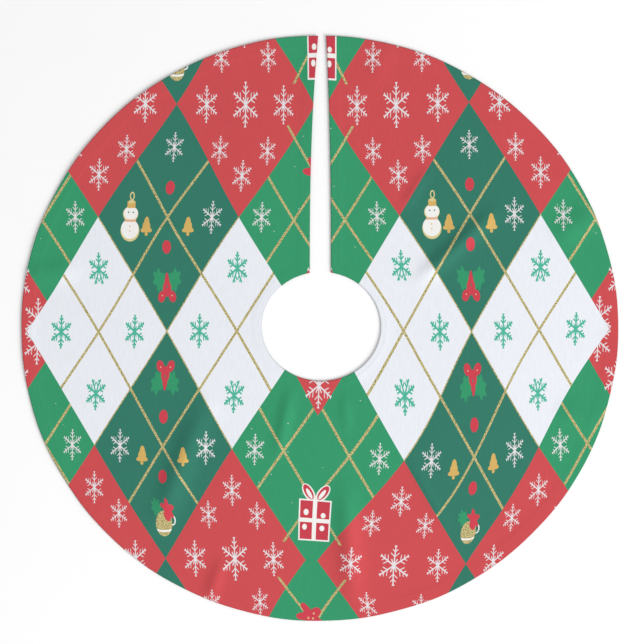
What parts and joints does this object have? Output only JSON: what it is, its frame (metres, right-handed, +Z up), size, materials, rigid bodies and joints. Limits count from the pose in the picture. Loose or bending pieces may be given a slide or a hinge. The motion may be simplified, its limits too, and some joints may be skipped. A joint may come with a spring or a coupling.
{
  "type": "tree skirt",
  "caption": "Round printed fabric tree skirt with a trunk hole, a front slit, turned hems and ribbon ties under the slit flaps.",
  "frame": {"origin": "on the floor, under the middle of the skirt's outline", "axes": "+Z up from the floor, +Y towards the slit, +X to the right of the slit seen from above with the slit away from the viewer"},
  "size_m": [1.124, 1.102, 0.0028],
  "materials": {
    "printed_cloth": "brushed polyester, printed on one side, soft matte",
    "turned_hem": "unprinted white back of the same cloth",
    "polyester_thread": "twisted sewing thread, faint sheen",
    "satin_ribbon": "white satin ribbon",
    "woven_label": "blank woven label"
  },
  "bodies": {
    "skirt": {"printed_panel": "printed_cloth", "outer_hem": "turned_hem", "neck_hem": "turned_hem", "outer_hem_stitching": "polyester_thread", "neck_hem_stitching": "polyester_thread", "care_label": "woven_label"},
    "left_flap": {"left_flap_panel": "printed_cloth", "left_outer_hem": "turned_hem", "left_neck_hem": "turned_hem", "left_slit_hem": "turned_hem", "left_outer_hem_stitching": "polyester_thread", "left_neck_hem_stitching": "polyester_thread", "left_slit_hem_stitching": "polyester_thread", "left_neck_tie_tack": "polyester_thread", "left_rim_tie_tack": "polyester_thread"},
    "left_neck_tie": {"left_neck_tie": "satin_ribbon"},
    "left_rim_tie": {"left_rim_tie": "satin_ribbon"},
    "right_flap": {"right_flap_panel": "printed_cloth", "right_outer_hem": "turned_hem", "right_neck_hem": "turned_hem", "right_slit_hem": "turned_hem", "right_outer_hem_stitching": "polyester_thread", "right_neck_hem_stitching": "polyester_thread", "right_slit_hem_stitching": "polyester_thread", "right_neck_tie_tack": "polyester_thread", "right_rim_tie_tack": "polyester_thread"},
    "right_neck_tie": {"right_neck_tie": "satin_ribbon"},
    "right_rim_tie": {"right_rim_tie": "satin_ribbon"}
  },
  "joints": [
    {"name": "left_flap_fold", "type": "hinge", "parent": "skirt", "child": "left_flap", "pos_m": [-0.0764, 0.07588, 0.0022], "axis": [0.7151, -0.699, 0], "range_deg": [0, 150]},
    {"name": "right_flap_fold", "type": "hinge", "parent": "skirt", "child": "right_flap", "pos_m": [0.082, 0.07588, 0.0022], "axis": [0.709, 0.7052, 0], "range_deg": [0, 150]},
    {"name": "left_neck_tie_swing", "type": "hinge", "parent": "left_flap", "child": "left_neck_tie", "pos_m": [-0.04166, 0.15, 0.00075], "axis": [0, 0, 1], "range_deg": [0, 60]},
    {"name": "left_rim_tie_swing", "type": "hinge", "parent": "left_flap", "child": "left_rim_tie", "pos_m": [-0.03882, 0.486, 0.00075], "axis": [0, 0, -1], "range_deg": [0, 60]},
    {"name": "right_neck_tie_swing", "type": "hinge", "parent": "right_flap", "child": "right_neck_tie", "pos_m": [0.04418, 0.15, 0.00075], "axis": [0, 0, -1], "range_deg": [0, 60]},
    {"name": "right_rim_tie_swing", "type": "hinge", "parent": "right_flap", "child": "right_rim_tie", "pos_m": [0.04251, 0.486, 0.00075], "axis": [0, 0, 1], "range_deg": [0, 60]}
  ]
}
